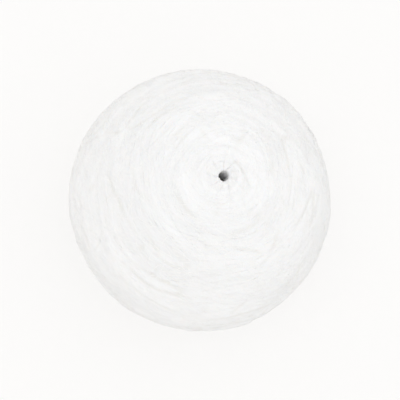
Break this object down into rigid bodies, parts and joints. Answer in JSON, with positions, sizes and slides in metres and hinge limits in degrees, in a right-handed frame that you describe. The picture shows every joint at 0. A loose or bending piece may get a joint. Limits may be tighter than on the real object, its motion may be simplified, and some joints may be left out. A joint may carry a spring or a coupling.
{
  "type": "spun cotton ball",
  "caption": "Hard white ball of spun and pressed cotton pulp, with one blind needle hole at a pole, for mounting on a wire or stick.",
  "frame": {"origin": "centre of the ball", "axes": "+Z along the needle hole, out of its mouth; +X and +Y are free, as the ball is turned about Z"},
  "size_m": [0.025, 0.0249, 0.0246],
  "materials": {
    "spun_cotton": "matte"
  },
  "bodies": {
    "root": {"cotton_ball": "spun_cotton"}
  },
  "joints": []
}
